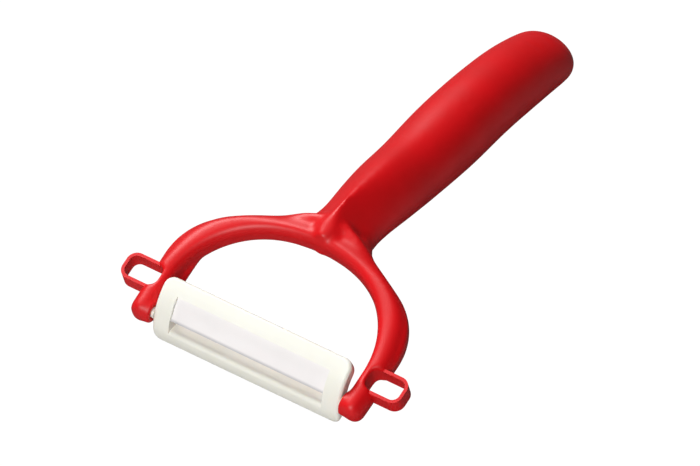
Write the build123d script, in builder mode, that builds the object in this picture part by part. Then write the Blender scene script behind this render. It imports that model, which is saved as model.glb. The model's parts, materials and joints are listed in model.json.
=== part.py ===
from build123d import *
import os
from math import cos, radians, sin

# A hand vegetable peeler: a one-piece red moulding with a grip, a bow and two eye loops, and between its
# arms a rocking white holder with a flat ceramic blade. Lengths are in millimetres, angles in degrees.
# +X runs along the blade, +Y from the blade to the grip's end and +Z up. The peeler lies as it does on a
# table, on its guard bar and the grip's end, and the origin is the middle of its footprint, on the table.

# Bow: a flat oval arch whose plane rises towards the grip
bow_tilt = 21.4
bow_depth = 6.6
bow_rounding_share = 0.4
arm_width = 5.2
arm_flare = 1.0
shoulder_radius = 16.5
shoulder_slope = 28.0
crest_radius = 6.0
crown_width = 9.2
arm_end = 2.8
arm_end_rounding_share = 0.46
opening_height = 31.3
crown_radius = 36.0
crown_half_angle = 16.35

# Stop ledges inside the arms, near the bow's back: the holder's back and its guard bar meet their fronts
ledge_reach = 1.7
ledge_bottom = 6.4
ledge_top = 19.8
ledge_front = -2.0
ledge_thickness = 1.2

# Pivots: pins on the holder turn in blind bores in the arm ends
pin_radius = 1.3
pin_length = 3.0
pin_clearance = 0.06
pin_end_clearance = 0.3
pin_lead = 0.3
boss_radius = 2.9
boss_reach = 0.55
holder_end_gap = 0.3

# Grip: a lofted body with a keel that runs out over the bow as a narrow prow
grip_start = 29.0
grip_length = 102.3
grip_half_width = 9.2
grip_half_height = 9.2
grip_rise = 12.3
# Stations: shares of grip_length (place), grip_rise (height of the widest line), grip_half_width (half
# width) and grip_half_height (height above and depth below that line), and how far the upper curve's
# handles go, as shares of the half width (crown) and of the height above the widest line (flank)
station_shares = (
    (0.000, 0.97, 0.22, 0.48, 0.20, 0.45, 0.50),
    (0.035, 0.90, 0.40, 0.75, 0.29, 0.35, 0.50),
    (0.075, 0.80, 0.68, 1.03, 0.37, 0.12, 0.34),
    (0.125, 0.71, 0.84, 1.18, 0.47, 0.08, 0.32),
    (0.190, 0.74, 0.87, 1.07, 0.71, 0.28, 0.40),
    (0.270, 0.71, 0.92, 1.01, 0.85, 0.36, 0.46),
    (0.380, 0.60, 0.94, 0.97, 0.92, 0.45, 0.52),
    (0.530, 0.52, 0.99, 1.00, 1.00, 0.53, 0.55),
    (0.680, 0.43, 0.97, 0.97, 0.97, 0.55, 0.55),
    (0.840, 0.21, 0.94, 0.88, 0.90, 0.55, 0.55),
    (1.000, -0.16, 0.84, 0.68, 0.69, 0.55, 0.55),
)
# The handles of the lower curves, which are nearly elliptic
belly_share = 0.55
grip_section_count = 16
# Rounded end: shares of the last part of the grip, and of the section's size there
end_length = 7.0
end_shares = ((0.30, 0.985), (0.55, 0.925), (0.75, 0.815), (0.89, 0.660), (0.97, 0.450), (1.00, 0.200))

# Eye loops: thin straps that stand out from the arms, round holes that bite into the arms' outer sides
loop_overhang = 6.7
loop_bottom = 3.9
loop_height = 7.1
loop_depth = 4.2
loop_wall = 0.8
loop_rounding = 2.6
loop_bite = 3.0

# Blade holder: a curved frame, given by its arc about an axis behind the blade
holder_half_length = 25.45
holder_radius = 12.7
holder_thickness = 3.7
holder_axis_along = 9.7
holder_axis_depth = -5.9
holder_top_angle = 98.6
holder_bottom_angle = 184.0
holder_corner = 2.4
holder_rounding = 0.9
window_half_length = 20.9
window_top_angle = 118.0
guard_top_angle = 161.0
guard_rounding = 0.9

# Ceramic blade: a flat strip with one ground edge, held in the holder at its ends and its back
blade_edge_along = -0.45
blade_edge_depth = 0.69
blade_lean = 41.3
blade_width = 7.4
blade_thickness = 1.0
blade_grind = 1.7
blade_land = 0.12
blade_end_hold = 1.5
blade_fit = 0.05

# Length by which a cutting shape runs past what it cuts
overrun = 1.0

bow_plane = Plane(origin=(0, 0, 0), x_dir=(1, 0, 0), z_dir=(0, -sin(radians(bow_tilt)), cos(radians(bow_tilt))))


# The arms stand clear of the holder's ends, and their bosses reach in to it
boss_face = holder_half_length + holder_end_gap
opening_half_width = boss_face + boss_reach
bore_depth = pin_length - holder_end_gap + pin_end_clearance

# The bow is as much wider and higher than its opening as its arms and its crown are wide
bow_half_width = opening_half_width + arm_width
crest_height = opening_height + crown_width
bow_rounding = bow_rounding_share * arm_width

# The outer edge is a flaring line, a shoulder arc, a straight slope and a crest arc, each tangent to the next
slope = radians(shoulder_slope)
flare = radians(arm_flare)
crest_end = (crest_radius * sin(slope), crest_height - crest_radius * (1 - cos(slope)))


def shoulder_end_drop(start_height):
    """How far below the slope line a shoulder arc ends if it starts at this height on the arm's line."""
    start = (bow_half_width + start_height * sin(flare) / cos(flare), start_height)
    middle = (start[0] - shoulder_radius * cos(flare), start_height + shoulder_radius * sin(flare))
    end = (middle[0] + shoulder_radius * sin(slope), middle[1] + shoulder_radius * cos(slope))
    return crest_end[1] - (end[0] - crest_end[0]) * sin(slope) / cos(slope) - end[1]


# The drop changes evenly with the start height, so two values of it give the start that ends on the slope
low_drop = shoulder_end_drop(0)
shoulder_height = crest_height * low_drop / (low_drop - shoulder_end_drop(crest_height))
shoulder_half_width = bow_half_width + shoulder_height * sin(flare) / cos(flare)
arm_end_half_width = bow_half_width - arm_end * sin(flare) / cos(flare)

# The opening's edge is a flat crown arc that meets a tighter haunch arc on each side
crown_turn = radians(crown_half_angle)
haunch_radius = (opening_half_width - crown_radius * sin(crown_turn)) / (1 - sin(crown_turn))
haunch_height = opening_height - crown_radius + (crown_radius - haunch_radius) * cos(crown_turn)
haunch_start = (crown_radius * sin(crown_turn), opening_height - crown_radius * (1 - cos(crown_turn)))

# A plane across the pivots: local x runs along the bow and local y out of its front face
def cross_plane(x=0):
    return Plane(origin=(x, 0, 0), x_dir=bow_plane.y_dir, z_dir=(1, 0, 0))


def station_at(place):
    """The shares at one place along the grip, on smooth curves through the stations."""
    last = len(station_shares) - 1
    after = next(i for i in range(1, last + 1) if place <= station_shares[i][0])
    before = after - 1
    span = station_shares[after][0] - station_shares[before][0]
    t = (place - station_shares[before][0]) / span
    values = []
    for column in range(1, len(station_shares[0])):
        slopes = []
        for i in (before, after):
            low, high = station_shares[max(i - 1, 0)], station_shares[min(i + 1, last)]
            slopes.append(span * (high[column] - low[column]) / (high[0] - low[0]))
        start, end = station_shares[before][column], station_shares[after][column]
        values.append(
            start * (2 * t**3 - 3 * t**2 + 1)
            + slopes[0] * (t**3 - 2 * t**2 + t)
            + end * (3 * t**2 - 2 * t**3)
            + slopes[1] * (t**3 - t**2)
        )
    return values


def grip_section(place, size_share=1):
    """One closed section of the grip, in an upright plane across it, of four curves that meet smoothly."""
    height, width, top, bottom, crown_share, flank_share = station_at(place)
    half_width = grip_half_width * width * size_share
    above = grip_half_height * top * size_share
    below = grip_half_height * bottom * size_share
    middle = (0, grip_start + grip_length * place, grip_rise * height)
    upper = [(half_width, 0), (half_width, above * flank_share), (half_width * crown_share, above), (0, above)]
    lower = [(0, -below), (half_width * belly_share, -below), (half_width, -below * belly_share), (half_width, 0)]
    with BuildSketch(Plane(origin=middle, x_dir=(-1, 0, 0), z_dir=(0, 1, 0))) as section:
        with BuildLine():
            Bezier(*upper)
            Bezier(*[(-x, y) for x, y in reversed(upper)])
            Bezier(*[(-x, y) for x, y in reversed(lower)])
            Bezier(*lower)
        make_face()
    return section.sketch


# Handle: bow, arms and grip in one moulding
with BuildPart() as handle:
    with BuildSketch(bow_plane) as arch:
        with BuildLine():
            shoulder_start = (shoulder_half_width, shoulder_height)
            shoulder_turn = 90 - shoulder_slope + arm_flare
            shoulder = JernArc(shoulder_start, (sin(flare), cos(flare)), shoulder_radius, shoulder_turn)
            crest = JernArc((0, crest_height), (1, 0), crest_radius, -shoulder_slope)
            Line(shoulder @ 1, crest @ 1)
            crown = TangentArc((0, opening_height), haunch_start, tangent=(1, 0))
            TangentArc(haunch_start, (opening_half_width, haunch_height), tangent=crown % 1)
            Polyline(
                (opening_half_width, haunch_height),
                (opening_half_width, -arm_end),
                (arm_end_half_width, -arm_end),
                shoulder_start,
            )
            mirror(about=Plane.YZ)
        make_face()
        fillet(arch.vertices().group_by(Axis.Y)[0], arm_end_rounding_share * arm_width)
    extrude(amount=bow_depth / 2, both=True)
    fillet(handle.faces().filter_by(bow_plane).edges(), bow_rounding)
    body_share = 1 - end_length / grip_length
    sections = [grip_section(body_share * i / grip_section_count) for i in range(grip_section_count + 1)]
    sections += [grip_section(body_share + (1 - body_share) * place, size) for place, size in end_shares]
    loft(sections)
    # Stop ledges on the inner sides of the arms
    ledge_width = ledge_reach + bow_rounding
    ledge_middle = (opening_half_width + bow_rounding - ledge_width / 2, (ledge_top + ledge_bottom) / 2)
    with BuildSketch(bow_plane.offset(ledge_front)):
        with Locations(ledge_middle, (-ledge_middle[0], ledge_middle[1])):
            Rectangle(ledge_width, ledge_top - ledge_bottom)
    extrude(amount=-ledge_thickness)
    # Pivot bosses with their blind bores
    for side in (1, -1):
        with BuildSketch(Plane.YZ.offset(side * boss_face)):
            Circle(boss_radius)
        extrude(amount=side * (boss_reach + bow_rounding))
        with BuildSketch(Plane.YZ.offset(side * boss_face)):
            Circle(pin_radius + pin_clearance)
        extrude(amount=side * bore_depth, mode=Mode.SUBTRACT)
    # Holes of the eye loops where they bite into the arms
    loop_reach = bow_half_width + loop_overhang
    hole_start = bow_half_width - loop_bite
    hole_length = loop_reach - loop_wall - hole_start
    hole_height = loop_height - 2 * loop_wall
    hole_middle = (hole_start + hole_length / 2, loop_bottom + loop_height / 2)
    with BuildSketch(bow_plane) as eye_holes:
        with Locations(hole_middle, (-hole_middle[0], hole_middle[1])):
            RectangleRounded(hole_length, hole_height, loop_rounding - loop_wall)
    extrude(amount=bow_depth, both=True, mode=Mode.SUBTRACT)


def eye_loop(side):
    """A strap bent round its hole, cut off where it meets the arm; side is 1 on the right, -1 on the left."""
    with BuildPart() as loop:
        with BuildSketch(bow_plane):
            with Locations((side * (loop_reach - hole_length / 2 - loop_wall), hole_middle[1])):
                RectangleRounded(hole_length + 2 * loop_wall, loop_height, loop_rounding)
                RectangleRounded(hole_length, hole_height, loop_rounding - loop_wall, mode=Mode.SUBTRACT)
        extrude(amount=loop_depth / 2, both=True)
        add(handle.part, mode=Mode.SUBTRACT)
        # Only the strap outside the arm stays
        far = loop.solids().sort_by(Axis.X)[-1 if side > 0 else 0]
        add(far, mode=Mode.INTERSECT)
    return loop.part


right_eye_loop = eye_loop(1)
left_eye_loop = eye_loop(-1)


def arc_sector(radius, start_angle, end_angle, depth):
    """The outline of a curved plate about the holder's arc axis, in a cross plane."""
    middle = (holder_axis_along, holder_axis_depth)
    with BuildLine() as outline:
        front = CenterArc(middle, radius, start_angle, end_angle - start_angle)
        back = CenterArc(middle, radius - depth, start_angle, end_angle - start_angle)
        Line(front @ 0, back @ 0)
        Line(front @ 1, back @ 1)
    return outline.line


blade_edge = Vector(blade_edge_along, blade_edge_depth)
blade_run = Vector(cos(radians(blade_lean)), sin(radians(blade_lean)))
blade_front = Vector(-sin(radians(blade_lean)), cos(radians(blade_lean)))


def blade_outline(grow=0):
    """The blade's section in a cross plane, thickened by grow on each face."""
    front = blade_front * grow
    back = blade_front * -(blade_thickness + grow)
    return Polyline(
        blade_edge - blade_run * grow + front,
        blade_edge + blade_run * (blade_width + grow) + front,
        blade_edge + blade_run * (blade_width + grow) + back,
        blade_edge + blade_run * (blade_grind - grow) + back,
        blade_edge - blade_run * grow - blade_front * (blade_land + grow),
        close=True,
    )


# Blade holder: curved frame with its window, guard bar, blade seat and pivot pins
with BuildPart() as holder:
    with BuildSketch(cross_plane()):
        with BuildLine():
            add(arc_sector(holder_radius, holder_top_angle, holder_bottom_angle, holder_thickness))
        make_face()
    extrude(amount=holder_half_length, both=True)
    straight = holder.edges().filter_by(GeomType.LINE)
    fillet(straight.group_by(Axis.X)[0] + straight.group_by(Axis.X)[-1], holder_corner)
    fillet(holder.edges(), holder_rounding)
    with BuildSketch(cross_plane()):
        with BuildLine():
            window = (holder_radius + overrun, window_top_angle, guard_top_angle)
            add(arc_sector(*window, holder_thickness + 2 * overrun))
        make_face()
    extrude(amount=window_half_length, both=True, mode=Mode.SUBTRACT)
    # The guard bar's front edge is rounded along the window
    window_edges = holder.edges(Select.LAST).filter_by(Axis.X).sort_by(Axis.Y)
    fillet(window_edges[0], guard_rounding)
    with BuildSketch(cross_plane()):
        with BuildLine():
            blade_outline(blade_fit)
        make_face()
    extrude(amount=window_half_length + blade_end_hold + blade_fit, both=True, mode=Mode.SUBTRACT)
    for end in (1, -1):
        with BuildSketch(Plane.YZ.offset(end * holder_half_length)):
            Circle(pin_radius)
        extrude(amount=end * pin_length)
    pin_ends = holder.faces().sort_by(Axis.X)[0].edges() + holder.faces().sort_by(Axis.X)[-1].edges()
    chamfer(pin_ends, pin_lead)

# Ceramic blade
with BuildPart() as blade:
    with BuildSketch(cross_plane()):
        with BuildLine():
            blade_outline()
        make_face()
    extrude(amount=window_half_length + blade_end_hold, both=True)

# The whole peeler is set down on the table, with the middle of its footprint at the origin
pieces = {
    "handle": handle.part,
    "left_eye_loop": left_eye_loop,
    "right_eye_loop": right_eye_loop,
    "blade_holder": holder.part,
    "ceramic_blade": blade.part,
}
extent = Compound(children=[Part(p.wrapped) for p in pieces.values()]).bounding_box()
set_down = Location((-extent.center().X, -extent.center().Y, -extent.min.Z))
os.makedirs("parts", exist_ok=True)
for name, piece in pieces.items():
    placed = piece.moved(set_down)
    placed.label = name
    export_step(placed, f"parts/{name}.step")
print("pivot height", round(-extent.min.Z, 4), "pivot place", round(-extent.center().Y, 4))
print("overall size", extent.size)
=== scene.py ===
import json
import math

import bmesh
import bpy
from mathutils import Matrix, Vector


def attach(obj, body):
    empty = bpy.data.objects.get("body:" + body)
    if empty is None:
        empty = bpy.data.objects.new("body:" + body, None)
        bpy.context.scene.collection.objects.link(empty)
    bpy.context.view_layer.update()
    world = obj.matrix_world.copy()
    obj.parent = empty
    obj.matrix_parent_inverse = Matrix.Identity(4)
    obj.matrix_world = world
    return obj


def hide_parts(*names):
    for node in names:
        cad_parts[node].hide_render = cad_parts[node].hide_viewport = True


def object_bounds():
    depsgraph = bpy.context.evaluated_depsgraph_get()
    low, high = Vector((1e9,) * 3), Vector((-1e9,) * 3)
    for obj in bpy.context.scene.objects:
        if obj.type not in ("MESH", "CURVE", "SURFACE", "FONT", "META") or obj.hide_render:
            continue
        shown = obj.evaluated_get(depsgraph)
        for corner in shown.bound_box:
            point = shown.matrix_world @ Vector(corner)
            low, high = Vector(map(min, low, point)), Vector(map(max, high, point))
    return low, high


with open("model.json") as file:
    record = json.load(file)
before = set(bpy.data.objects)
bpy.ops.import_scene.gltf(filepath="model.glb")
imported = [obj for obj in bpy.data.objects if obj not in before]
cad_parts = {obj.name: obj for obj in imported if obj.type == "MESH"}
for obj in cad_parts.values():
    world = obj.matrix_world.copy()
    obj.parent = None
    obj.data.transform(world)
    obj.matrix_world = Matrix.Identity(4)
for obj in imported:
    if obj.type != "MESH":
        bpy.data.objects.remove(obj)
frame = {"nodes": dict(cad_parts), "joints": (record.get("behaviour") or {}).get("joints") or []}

# A hand vegetable peeler in red and ivory plastic with a white ceramic blade, lying on a white table.
# Lengths are in metres, and MM turns a size in millimetres into metres.
MM = 0.001

cad_low, cad_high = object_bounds()

# Where the peeler's own measures start: the pivot axis of the blade holder, and the slope of the bow
pivot = Vector(frame["joints"][0]["pos_m"])
BOW_TILT = math.radians(21.4)
bow_along = Vector((0, math.cos(BOW_TILT), math.sin(BOW_TILT)))
bow_normal = Vector((0, -math.sin(BOW_TILT), math.cos(BOW_TILT)))


def bow_place(co):
    """A point's place in the bow's own directions: across, along and out of its front, in millimetres."""
    from_pivot = co - pivot
    return from_pivot.x / MM, from_pivot.dot(bow_along) / MM, from_pivot.dot(bow_normal) / MM


def smooth_step(low, high, value):
    """0 below low and 1 above high, with a soft change between."""
    t = min(max((value - low) / (high - low), 0.0), 1.0)
    return t * t * (3 - 2 * t)


# Camera: a long lens, because the photograph shows the peeler almost without perspective
IMAGE_WIDTH = 700
IMAGE_HEIGHT = 466
LENS = 1000.0
SENSOR = 36.0
PIXELS_PER_METRE = 4366.0
VIEW_RIGHT = Vector((0.8400, 0.5408, 0.0454))
VIEW_UP = Vector((-0.3970, 0.5547, 0.7308))
PIVOT_PIXEL = (248.6, 357.4)


def make_camera():
    data = bpy.data.cameras.new("camera")
    data.lens = LENS
    data.sensor_width = SENSOR
    data.clip_start = 0.05
    data.clip_end = 30
    data.dof.use_dof = False
    camera = bpy.data.objects.new("camera", data)
    bpy.context.scene.collection.objects.link(camera)
    right = VIEW_RIGHT.normalized()
    back = right.cross(VIEW_UP).normalized()
    up = back.cross(right)
    across = (IMAGE_WIDTH / 2 - PIVOT_PIXEL[0]) / PIXELS_PER_METRE
    rise = (PIVOT_PIXEL[1] - IMAGE_HEIGHT / 2) / PIXELS_PER_METRE
    distance = LENS * IMAGE_WIDTH / PIXELS_PER_METRE / SENSOR
    place = pivot + right * across + up * rise + back * distance
    turn = Matrix((right, up, back)).transposed().to_4x4()
    camera.matrix_world = Matrix.Translation(place) @ turn
    bpy.context.scene.camera = camera


# Studio light: a soft sky that is brighter on the left and fades to the right, a key and a fill
SKY_BRIGHT = 0.85
SKY_DIM = 0.03
SKY_SIDE = Vector((-0.62, 0.10, 0.78))
KEY_PLACE = Vector((-0.68, 0.32, 0.83))
KEY_SIZE = 0.60
KEY_POWER = 13.0
FILL_PLACE = Vector((0.15, -0.80, 0.62))
FILL_SIZE = 0.50
FILL_POWER = 8.5
# The sky fades between these shares of facing its bright side
SKY_FADE = (-0.35, 0.85)


def make_light(name, place, size, power):
    data = bpy.data.lights.new(name, "AREA")
    data.shape = "DISK"
    data.size = size
    data.energy = power
    light = bpy.data.objects.new(name, data)
    bpy.context.scene.collection.objects.link(light)
    light.location = place
    light.rotation_euler = (-place).to_track_quat("-Z", "Y").to_euler()


def make_studio():
    world = bpy.data.worlds.new("studio")
    world.use_nodes = True
    nodes, links = world.node_tree.nodes, world.node_tree.links
    direction = nodes.new("ShaderNodeTexCoord").outputs["Generated"]
    towards = nodes.new("ShaderNodeVectorMath")
    towards.operation = "DOT_PRODUCT"
    links.new(direction, towards.inputs[0])
    towards.inputs[1].default_value = SKY_SIDE.normalized()
    level = nodes.new("ShaderNodeMapRange")
    level.interpolation_type = "SMOOTHSTEP"
    level.inputs["From Min"].default_value = SKY_FADE[0]
    level.inputs["From Max"].default_value = SKY_FADE[1]
    level.inputs["To Min"].default_value = SKY_DIM
    level.inputs["To Max"].default_value = SKY_BRIGHT
    links.new(towards.outputs["Value"], level.inputs["Value"])
    links.new(level.outputs["Result"], nodes["Background"].inputs["Strength"])
    bpy.context.scene.world = world
    make_light("key_light", KEY_PLACE, KEY_SIZE, KEY_POWER)
    make_light("fill_light", FILL_PLACE, FILL_SIZE, FILL_POWER)
    view = bpy.context.scene.view_settings
    view.view_transform = "Standard"
    view.look = "None"
    view.exposure = 0
    view.gamma = 1


def new_material(name):
    """A material with its Principled shader, and its nodes and links."""
    material = bpy.data.materials.new(name)
    material.use_nodes = True
    tree = material.node_tree
    return material, tree.nodes, tree.links, tree.nodes["Principled BSDF"]


# The table looks plain white to the camera, bounces a soft grey light and is dim in reflections
FLOOR_HALF = 1.5
FLOOR_GLOW = 1.05
FLOOR_COLOUR = (0.60, 0.60, 0.60, 1)
FLOOR_ROUGHNESS = 0.9
FLOOR_REFLECTED = (0.08, 0.08, 0.08, 1)


def make_floor():
    bm = bmesh.new()
    bmesh.ops.create_grid(bm, x_segments=1, y_segments=1, size=FLOOR_HALF)
    mesh = bpy.data.meshes.new("floor")
    bm.to_mesh(mesh)
    bm.free()
    floor = bpy.data.objects.new("floor", mesh)
    bpy.context.scene.collection.objects.link(floor)
    floor.location.z = cad_low[2]
    material, nodes, links, shader = new_material("white_table")
    shader.inputs["Base Color"].default_value = FLOOR_COLOUR
    shader.inputs["Roughness"].default_value = FLOOR_ROUGHNESS
    glow = nodes.new("ShaderNodeEmission")
    glow.inputs["Strength"].default_value = FLOOR_GLOW
    shade = nodes.new("ShaderNodeBsdfDiffuse")
    shade.inputs["Color"].default_value = FLOOR_REFLECTED
    path = nodes.new("ShaderNodeLightPath")
    mirrored = nodes.new("ShaderNodeMixShader")
    links.new(path.outputs["Is Glossy Ray"], mirrored.inputs["Fac"])
    links.new(shader.outputs["BSDF"], mirrored.inputs[1])
    links.new(shade.outputs["BSDF"], mirrored.inputs[2])
    blend = nodes.new("ShaderNodeMixShader")
    links.new(path.outputs["Is Camera Ray"], blend.inputs["Fac"])
    links.new(mirrored.outputs["Shader"], blend.inputs[1])
    links.new(glow.outputs["Emission"], blend.inputs[2])
    links.new(blend.outputs["Shader"], nodes["Material Output"].inputs["Surface"])
    mesh.materials.append(material)


# How the noise of the surface is read: its useful range, the stretch of its scuffs and how much they dull
MOTTLE_RANGE = (0.35, 0.65)
SCUFF_TURN = (0.3, 0.2, 0.9)
SCUFF_STRETCH = (60.0, 900.0, 900.0)
SCUFF_RANGE = (0.66, 0.74)
SCUFF_DULLING = 0.25
GRAIN_HEIGHT = 0.02 * MM


def moulded_surface():
    """A node group for moulded plastic: a slight mottling of the colour, a fine grain and sparse scuffs."""
    group = bpy.data.node_groups.new("moulded_surface", "ShaderNodeTree")
    face = group.interface
    for name, kind, value in (
        ("Colour", "NodeSocketColor", (0.5, 0.5, 0.5, 1)),
        ("Deep Colour", "NodeSocketColor", (0.4, 0.4, 0.4, 1)),
        ("Roughness", "NodeSocketFloat", 0.35),
        ("Roughness Spread", "NodeSocketFloat", 0.06),
        ("Mottle Scale", "NodeSocketFloat", 90.0),
        ("Grain Scale", "NodeSocketFloat", 2600.0),
        ("Grain Depth", "NodeSocketFloat", 0.12),
        ("Scuff Amount", "NodeSocketFloat", 0.4),
    ):
        face.new_socket(name, in_out="INPUT", socket_type=kind).default_value = value
    face.new_socket("Colour", in_out="OUTPUT", socket_type="NodeSocketColor")
    face.new_socket("Roughness", in_out="OUTPUT", socket_type="NodeSocketFloat")
    face.new_socket("Normal", in_out="OUTPUT", socket_type="NodeSocketVector")
    nodes, links = group.nodes, group.links
    given = nodes.new("NodeGroupInput")
    result = nodes.new("NodeGroupOutput")
    place = nodes.new("ShaderNodeTexCoord").outputs["Object"]

    mottle = nodes.new("ShaderNodeTexNoise")
    mottle.inputs["Detail"].default_value = 5
    links.new(place, mottle.inputs["Vector"])
    links.new(given.outputs["Mottle Scale"], mottle.inputs["Scale"])
    mottle_range = nodes.new("ShaderNodeMapRange")
    mottle_range.inputs["From Min"].default_value = MOTTLE_RANGE[0]
    mottle_range.inputs["From Max"].default_value = MOTTLE_RANGE[1]
    links.new(mottle.outputs["Fac"], mottle_range.inputs["Value"])
    colour = nodes.new("ShaderNodeMix")
    colour.data_type = "RGBA"
    links.new(mottle_range.outputs["Result"], colour.inputs["Factor"])
    links.new(given.outputs["Colour"], colour.inputs["A"])
    links.new(given.outputs["Deep Colour"], colour.inputs["B"])
    links.new(colour.outputs["Result"], result.inputs["Colour"])

    # Scuffs: thin, far apart lines from a stretched noise, which only dull the gloss
    stretch = nodes.new("ShaderNodeMapping")
    stretch.inputs["Rotation"].default_value = SCUFF_TURN
    stretch.inputs["Scale"].default_value = SCUFF_STRETCH
    links.new(place, stretch.inputs["Vector"])
    scuff = nodes.new("ShaderNodeTexNoise")
    scuff.inputs["Scale"].default_value = 1.0
    scuff.inputs["Detail"].default_value = 3
    links.new(stretch.outputs["Vector"], scuff.inputs["Vector"])
    scuff_range = nodes.new("ShaderNodeMapRange")
    scuff_range.inputs["From Min"].default_value = SCUFF_RANGE[0]
    scuff_range.inputs["From Max"].default_value = SCUFF_RANGE[1]
    links.new(scuff.outputs["Fac"], scuff_range.inputs["Value"])
    scuff_share = nodes.new("ShaderNodeMath")
    scuff_share.operation = "MULTIPLY"
    links.new(scuff_range.outputs["Result"], scuff_share.inputs[0])
    links.new(given.outputs["Scuff Amount"], scuff_share.inputs[1])
    uneven = nodes.new("ShaderNodeMath")
    uneven.operation = "MULTIPLY_ADD"
    links.new(mottle_range.outputs["Result"], uneven.inputs[0])
    links.new(given.outputs["Roughness Spread"], uneven.inputs[1])
    links.new(given.outputs["Roughness"], uneven.inputs[2])
    roughness = nodes.new("ShaderNodeMath")
    roughness.operation = "MULTIPLY_ADD"
    links.new(scuff_share.outputs["Value"], roughness.inputs[0])
    roughness.inputs[1].default_value = SCUFF_DULLING
    links.new(uneven.outputs["Value"], roughness.inputs[2])
    links.new(roughness.outputs["Value"], result.inputs["Roughness"])

    grain = nodes.new("ShaderNodeTexNoise")
    grain.inputs["Detail"].default_value = 2
    links.new(place, grain.inputs["Vector"])
    links.new(given.outputs["Grain Scale"], grain.inputs["Scale"])
    bump = nodes.new("ShaderNodeBump")
    bump.inputs["Distance"].default_value = GRAIN_HEIGHT
    links.new(given.outputs["Grain Depth"], bump.inputs["Strength"])
    links.new(grain.outputs["Fac"], bump.inputs["Height"])
    links.new(bump.outputs["Normal"], result.inputs["Normal"])
    return group


# The same for all three materials
ROUGHNESS_SPREAD = 0.05
PLASTIC_IOR = 1.49


def plastic(name, surface, colour, deep_colour, roughness, scuffs, grain, gloss, subsurface, radius):
    """A material on the shared surface group, with its light let in to a radius in millimetres."""
    material, nodes, links, shader = new_material(name)
    skin = nodes.new("ShaderNodeGroup")
    skin.node_tree = surface
    skin.inputs["Colour"].default_value = (*colour, 1)
    skin.inputs["Deep Colour"].default_value = (*deep_colour, 1)
    skin.inputs["Roughness"].default_value = roughness
    skin.inputs["Roughness Spread"].default_value = ROUGHNESS_SPREAD
    skin.inputs["Scuff Amount"].default_value = scuffs
    skin.inputs["Grain Depth"].default_value = grain
    links.new(skin.outputs["Colour"], shader.inputs["Base Color"])
    links.new(skin.outputs["Roughness"], shader.inputs["Roughness"])
    links.new(skin.outputs["Normal"], shader.inputs["Normal"])
    shader.inputs["IOR"].default_value = PLASTIC_IOR
    shader.inputs["Specular IOR Level"].default_value = gloss
    shader.inputs["Subsurface Weight"].default_value = subsurface
    shader.inputs["Subsurface Radius"].default_value = radius
    shader.inputs["Subsurface Scale"].default_value = MM
    return material


# The red moulding: one smooth mesh stands for the grip and the bow
VOXEL = 0.36 * MM
EVEN_ROUNDS = 5
# The bow's own sizes in millimetres, as its solid has them
CROWN_RADIUS = 36.0
CROWN_TURN = math.radians(16.35)
OPENING_HEIGHT = 31.3
OPENING_HALF_WIDTH = 26.3
HAUNCH_RADIUS = (OPENING_HALF_WIDTH - CROWN_RADIUS * math.sin(CROWN_TURN)) / (1 - math.sin(CROWN_TURN))
BOW_FRONT = 3.3
# Concave corners round the neck are filled with these radii, each from a height on the bow upwards and from
# a distance on each side of the middle outwards
NECK_FILLS = ((32.5, 0.0, 0.9), (35.0, 3.0, 2.0), (31.0, 6.0, 4.6))
NECK_REACH = 19.0
NECK_TOP = 56.0
FILL_VOXEL = 0.55 * MM
FILL_SINK = 0.10
# The outer corners where the bow meets the neck swell to the sides
WEB_MIDDLE = (8.0, 36.8, -4.0)
WEB_SPREAD = (3.2, 3.2, 3.6)
WEB_SWELL = 2.2
WEB_FADE = (3.0, 7.0)
# Beyond this many spreads, squared, the swell has faded out
WEB_LIMIT = 16
# The bow's front falls away to its outer edge, and is dished beside the prow between a bead and the neck
OUTER_SLOPE_WIDTH = 3.0
OUTER_SLOPE_DROP = 1.5
BEAD_WIDTH = 1.6
DISH_DEPTH = 0.8
DISH_WIDTH = 6.0
DISH_REACH = (10.0, 20.0)
# Where this shaping acts: heights on the bow, depth behind its middle, and fades beside the neck and the prow
SHAPED_HEIGHTS = (-5.0, 45.0)
SHAPED_BACK = -2.0
CROWN_START = 20.0
NECK_FADE = (7.0, 15.0)
PROW_FADE = (2.2, 4.2)
ARM_FADE = (1.5, 4.0)
BAND_WIDTH = 5.4
BAND_FLARE = 0.9
BAND_FLARE_HEIGHTS = (14.0, 26.0)


def merged_copy(name, *node_names):
    """The CAD solids as one mesh with shared vertices."""
    bm = bmesh.new()
    for node in node_names:
        bm.from_mesh(frame["nodes"][node].data)
    bmesh.ops.remove_doubles(bm, verts=bm.verts, dist=0.002 * MM)
    mesh = bpy.data.meshes.new(name)
    bm.to_mesh(mesh)
    bm.free()
    piece = bpy.data.objects.new(name, mesh)
    bpy.context.scene.collection.objects.link(piece)
    return piece


def even_mesh(piece, voxel):
    """Remeshes a piece into even faces of about the given size."""
    remesh = piece.modifiers.new("even", "REMESH")
    remesh.mode = "VOXEL"
    remesh.voxel_size = voxel
    depsgraph = bpy.context.evaluated_depsgraph_get()
    mesh = bpy.data.meshes.new_from_object(piece.evaluated_get(depsgraph))
    piece.modifiers.remove(remesh)
    piece.data = mesh


def bow_point(across, along, out):
    """The opposite of bow_place: a point in metres from the bow's own directions in millimetres."""
    return pivot + (Vector((1, 0, 0)) * across + bow_along * along + bow_normal * out) * MM


def cut_off(bm, place, direction):
    """Removes what lies beyond a plane and closes the cut."""
    everything = bm.verts[:] + bm.edges[:] + bm.faces[:]
    bmesh.ops.bisect_plane(bm, geom=everything, plane_co=place, plane_no=direction, clear_outer=True)
    rim = [edge for edge in bm.edges if edge.is_boundary]
    bmesh.ops.holes_fill(bm, edges=rim, sides=0)


def grow(piece, reach, voxel):
    """Moves the surface out by reach (in for a negative one) and gives it even faces again."""
    swell = piece.modifiers.new("swell", "DISPLACE")
    swell.strength = reach * MM
    swell.mid_level = 0
    even_mesh(piece, voxel)
    piece.modifiers.remove(swell)


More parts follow.
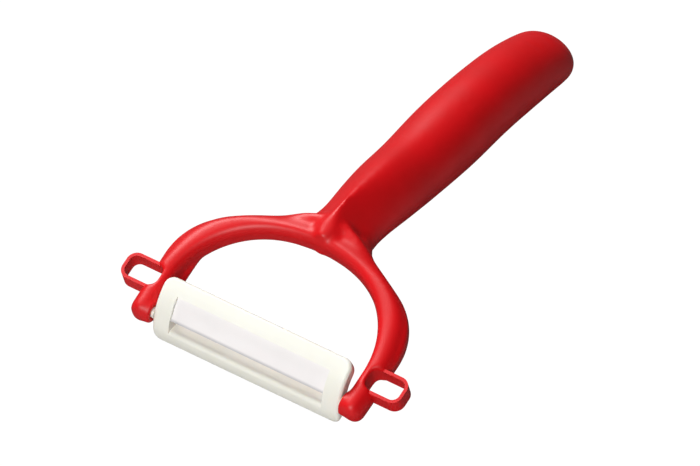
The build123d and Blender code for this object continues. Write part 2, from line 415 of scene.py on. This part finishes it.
def neck_fill(source, start, inner, radius):
    """Both sides of the neck with their concave corners filled to a radius, from a height upwards."""
    piece = bpy.data.objects.new("neck_fill", source.data.copy())
    bpy.context.scene.collection.objects.link(piece)
    bm = bmesh.new()
    bm.from_mesh(piece.data)
    margin = 2 * radius
    cut_off(bm, bow_point(0, start - margin, 0), -bow_along)
    cut_off(bm, bow_point(0, NECK_TOP + margin, 0), bow_along)
    bm.to_mesh(piece.data)
    grow(piece, radius, FILL_VOXEL)
    grow(piece, -radius - FILL_SINK, FILL_VOXEL)
    bm.clear()
    bm.from_mesh(piece.data)
    cut_off(bm, bow_point(0, start, 0), -bow_along)
    cut_off(bm, bow_point(0, NECK_TOP, 0), bow_along)
    bm.to_mesh(piece.data)
    sides = bmesh.new()
    for side in (1, -1):
        bm.clear()
        bm.from_mesh(piece.data)
        across = Vector((side, 0, 0))
        cut_off(bm, bow_point(side * inner, 0, 0), -across)
        cut_off(bm, bow_point(side * NECK_REACH, 0, 0), across)
        half = bpy.data.meshes.new("neck_side")
        bm.to_mesh(half)
        sides.from_mesh(half)
    sides.to_mesh(piece.data)
    sides.free()
    bm.free()
    return piece


def edge_distance(x, y):
    """How far a place in the bow's plane lies outside the edge of its opening, in millimetres."""
    x = abs(x)
    from_crown = y - (OPENING_HEIGHT - CROWN_RADIUS)
    if from_crown > 0 and math.atan2(x, from_crown) < CROWN_TURN:
        return math.hypot(x, from_crown) - CROWN_RADIUS
    middle_x = OPENING_HALF_WIDTH - HAUNCH_RADIUS
    middle_y = OPENING_HEIGHT - CROWN_RADIUS + (CROWN_RADIUS - HAUNCH_RADIUS) * math.cos(CROWN_TURN)
    if y > middle_y:
        return math.hypot(x - middle_x, y - middle_y) - HAUNCH_RADIUS
    return x - OPENING_HALF_WIDTH


def band_width(x, y):
    """The bow's width from its opening to its outer edge, in millimetres."""
    return BAND_WIDTH + BAND_FLARE * smooth_step(*BAND_FLARE_HEIGHTS, y)


def shape_bow_front(bm):
    """Lowers the bow's front towards its outer edge, and dishes it beside the prow."""
    for vert in bm.verts:
        x, y, z = bow_place(vert.co)
        if z < SHAPED_BACK or not SHAPED_HEIGHTS[0] <= y <= SHAPED_HEIGHTS[1]:
            continue
        inside = edge_distance(x, y)
        outside = band_width(x, y) - inside
        neck_fade = smooth_step(*NECK_FADE, abs(x)) if y > CROWN_START else 1.0
        drop = 0.0
        if outside < OUTER_SLOPE_WIDTH:
            drop += OUTER_SLOPE_DROP * (1 - max(outside, 0.0) / OUTER_SLOPE_WIDTH) ** 2 * neck_fade
        if y > CROWN_START and BEAD_WIDTH < inside < BEAD_WIDTH + DISH_WIDTH and z > 0:
            across = (inside - BEAD_WIDTH) / DISH_WIDTH
            fade = 1 - smooth_step(*DISH_REACH, abs(x))
            prow = smooth_step(*PROW_FADE, abs(x))
            drop += DISH_DEPTH * math.sin(math.pi * across) ** 2 * fade * prow
        share = smooth_step(SHAPED_BACK, BOW_FRONT, z)
        on_arm = 1 - smooth_step(*ARM_FADE, inside - band_width(x, y))
        vert.co -= bow_normal * (drop * share * on_arm * MM)


def swell_neck_corners(bm):
    """Pushes the concave corners beside the neck outwards into soft webs."""
    for vert in bm.verts:
        x, y, z = bow_place(vert.co)
        away = sum(((c - m) / w) ** 2 for c, m, w in zip((abs(x), y, z), WEB_MIDDLE, WEB_SPREAD))
        if away < WEB_LIMIT:
            swell = WEB_SWELL * math.exp(-away / 2) * smooth_step(*WEB_FADE, abs(x))
            vert.co.x += math.copysign(swell * MM, x)


def even_out(bm):
    """Smooths the whole mesh by the set number of rounds."""
    for _ in range(EVEN_ROUNDS):
        bmesh.ops.smooth_vert(
            bm, verts=bm.verts, factor=0.5, use_axis_x=True, use_axis_y=True, use_axis_z=True
        )


def make_moulding(material):
    piece = merged_copy("red_moulding", "handle")
    even_mesh(piece, VOXEL)
    fills = [neck_fill(piece, *fill) for fill in NECK_FILLS]
    bm = bmesh.new()
    bm.from_mesh(piece.data)
    for fill in fills:
        bm.from_mesh(fill.data)
        bpy.data.objects.remove(fill)
    bm.to_mesh(piece.data)
    even_mesh(piece, VOXEL)
    bm.clear()
    bm.from_mesh(piece.data)
    even_out(bm)
    swell_neck_corners(bm)
    shape_bow_front(bm)
    even_out(bm)
    for face in bm.faces:
        face.smooth = True
        face.material_index = 0
    bm.to_mesh(piece.data)
    bm.free()
    piece.data.materials.clear()
    piece.data.materials.append(material)
    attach(piece, "handle_body")
    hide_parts("handle")


# The eye loops are thin straps, and their ends reach into the arms
LOOP_END = 32.0
LOOP_SINK = 2.4


def make_eye_loops(material):
    piece = merged_copy("eye_loops", "left_eye_loop", "right_eye_loop")
    for vert in piece.data.vertices:
        across = vert.co.x - pivot.x
        if abs(across) < LOOP_END * MM:
            vert.co.x -= math.copysign(LOOP_SINK * MM, across)
    for face in piece.data.polygons:
        face.use_smooth = False
        face.material_index = 0
    piece.data.materials.clear()
    piece.data.materials.append(material)
    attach(piece, "handle_body")
    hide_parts("left_eye_loop", "right_eye_loop")


# Painted shade: the blade's colour is greyed in a band along its cutting edge, standing in for the shade on
# its bevel
BEVEL_SHADE_WIDTH = 0.7
BEVEL_SHADE_COLOUR = (0.50, 0.49, 0.50, 1)


def paint_bevel_shade(material):
    """Paints the shade of the bevel into the blade's colour along its lower edge."""
    nodes, links = material.node_tree.nodes, material.node_tree.links
    base = nodes["Principled BSDF"].inputs["Base Color"]
    face_colour = base.links[0].from_socket
    edge = min(vert.co.dot(bow_along) for vert in frame["nodes"]["ceramic_blade"].data.vertices)
    height = nodes.new("ShaderNodeVectorMath")
    height.operation = "DOT_PRODUCT"
    links.new(nodes.new("ShaderNodeTexCoord").outputs["Object"], height.inputs[0])
    height.inputs[1].default_value = bow_along
    band = nodes.new("ShaderNodeMapRange")
    band.interpolation_type = "SMOOTHSTEP"
    band.inputs["From Min"].default_value = edge
    band.inputs["From Max"].default_value = edge + BEVEL_SHADE_WIDTH * MM
    links.new(height.outputs["Value"], band.inputs["Value"])
    bevel_shade = nodes.new("ShaderNodeMix")
    bevel_shade.data_type = "RGBA"
    links.new(band.outputs["Result"], bevel_shade.inputs["Factor"])
    # The painted bevel shade is greyest at the edge itself and fades into the face colour across the band
    bevel_shade.inputs["A"].default_value = BEVEL_SHADE_COLOUR
    links.new(face_colour, bevel_shade.inputs["B"])
    links.new(bevel_shade.outputs["Result"], base)


def dress(node, material):
    """Gives a CAD node its material."""
    mesh = frame["nodes"][node].data
    mesh.materials.clear()
    mesh.materials.append(material)


make_camera()
make_studio()
make_floor()
surface = moulded_surface()
red = plastic(
    "red_plastic",
    surface,
    colour=(0.64, 0.003, 0.006),
    deep_colour=(0.58, 0.002, 0.004),
    roughness=0.42,
    scuffs=0.3,
    grain=0.10,
    gloss=0.4,
    subsurface=0.0,
    radius=(1.2, 0.2, 0.15),
)
ivory = plastic(
    "ivory_plastic",
    surface,
    colour=(0.82, 0.81, 0.735),
    deep_colour=(0.80, 0.79, 0.715),
    roughness=0.40,
    scuffs=0.3,
    grain=0.10,
    gloss=0.5,
    subsurface=0.25,
    radius=(1.0, 0.9, 0.7),
)
ceramic = plastic(
    "white_ceramic",
    surface,
    colour=(0.86, 0.83, 0.825),
    deep_colour=(0.84, 0.81, 0.805),
    roughness=0.30,
    scuffs=0.6,
    grain=0.05,
    gloss=0.5,
    subsurface=0.15,
    radius=(0.8, 0.7, 0.7),
)
make_moulding(red)
make_eye_loops(red)
dress("blade_holder", ivory)
# Painted shade along the blade's bevel
paint_bevel_shade(ceramic)
dress("ceramic_blade", ceramic)
